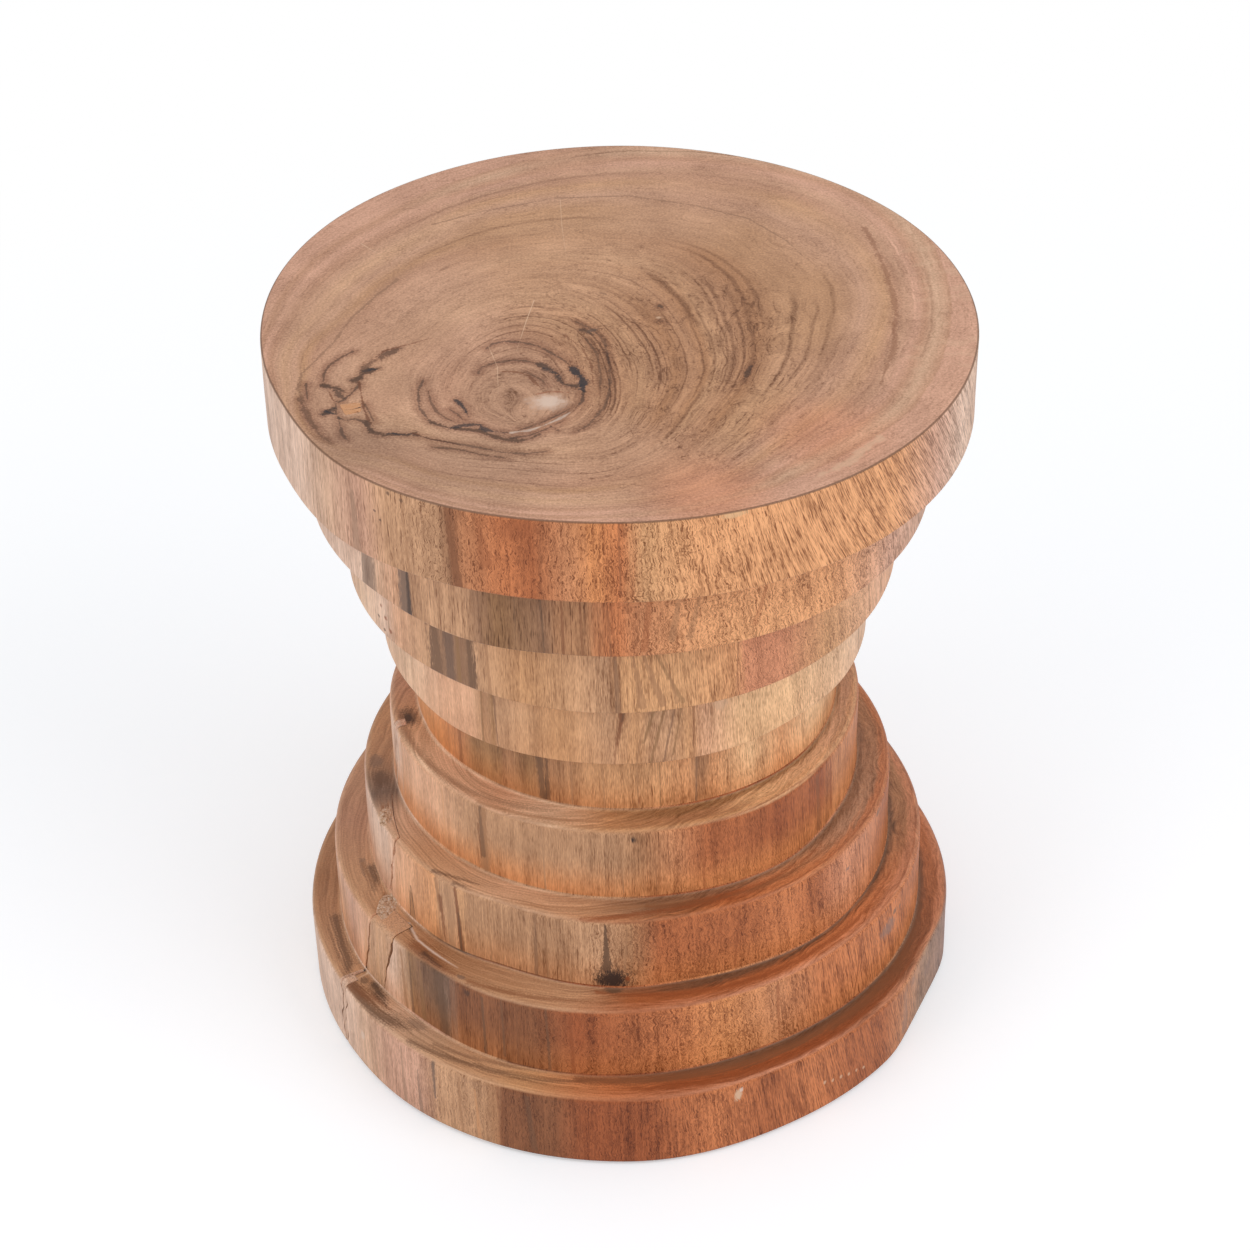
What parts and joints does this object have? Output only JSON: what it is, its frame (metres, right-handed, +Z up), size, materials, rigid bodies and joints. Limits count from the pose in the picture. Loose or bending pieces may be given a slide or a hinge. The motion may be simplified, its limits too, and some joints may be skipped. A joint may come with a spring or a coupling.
{
  "type": "carved wooden stool",
  "caption": "Stepped hourglass stool carved from one length of log, with slips and filler set into its shake and felt pads under its base.",
  "frame": {"origin": "on the floor under the middle of the stool", "axes": "+Z up along the log; -Y towards the picture's viewer, +X to their right"},
  "size_m": [0.3903, 0.3908, 0.45],
  "materials": {
    "log_wood": "oiled and sanded, satin",
    "slip_wood": "sanded, satin",
    "sawdust_filler": "cured glue and sawdust, matt",
    "felt": "pressed felt"
  },
  "bodies": {
    "root": {"trunk": "log_wood", "upper_shake_slip": "slip_wood", "lower_shake_slip": "slip_wood", "base_shake_slip": "slip_wood", "seat_knot_slip": "slip_wood", "upper_ledge_filler": "sawdust_filler", "lower_ledge_filler": "sawdust_filler", "felt_pads": "felt"}
  },
  "joints": []
}
